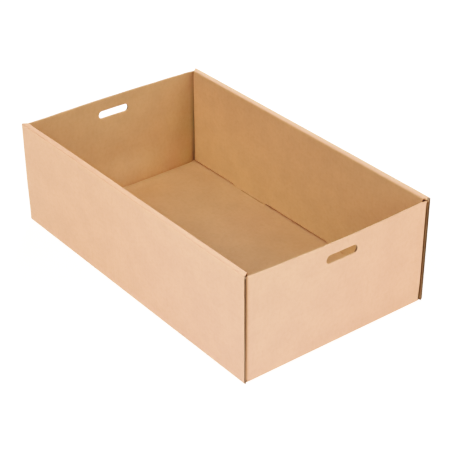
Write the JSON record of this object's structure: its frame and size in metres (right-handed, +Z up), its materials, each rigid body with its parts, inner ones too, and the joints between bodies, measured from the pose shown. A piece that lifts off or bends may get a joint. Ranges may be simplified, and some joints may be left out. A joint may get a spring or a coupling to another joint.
{
  "type": "cardboard tray box",
  "caption": "Open-topped tray folded from corrugated board, with rolled-over long walls locked by tabs in the floor and a finger hole in each end panel.",
  "frame": {"origin": "centre of the footprint, on the underside of the floor", "axes": "+Z up, +X along the tray's length through the two finger holes, +Y across its width"},
  "size_m": [0.56, 0.34, 0.176],
  "materials": {
    "kraft_board": "uncoated brown kraft liner, matt, with darker cut edges"
  },
  "bodies": {
    "root": {"folded_tray": "kraft_board"}
  },
  "joints": []
}
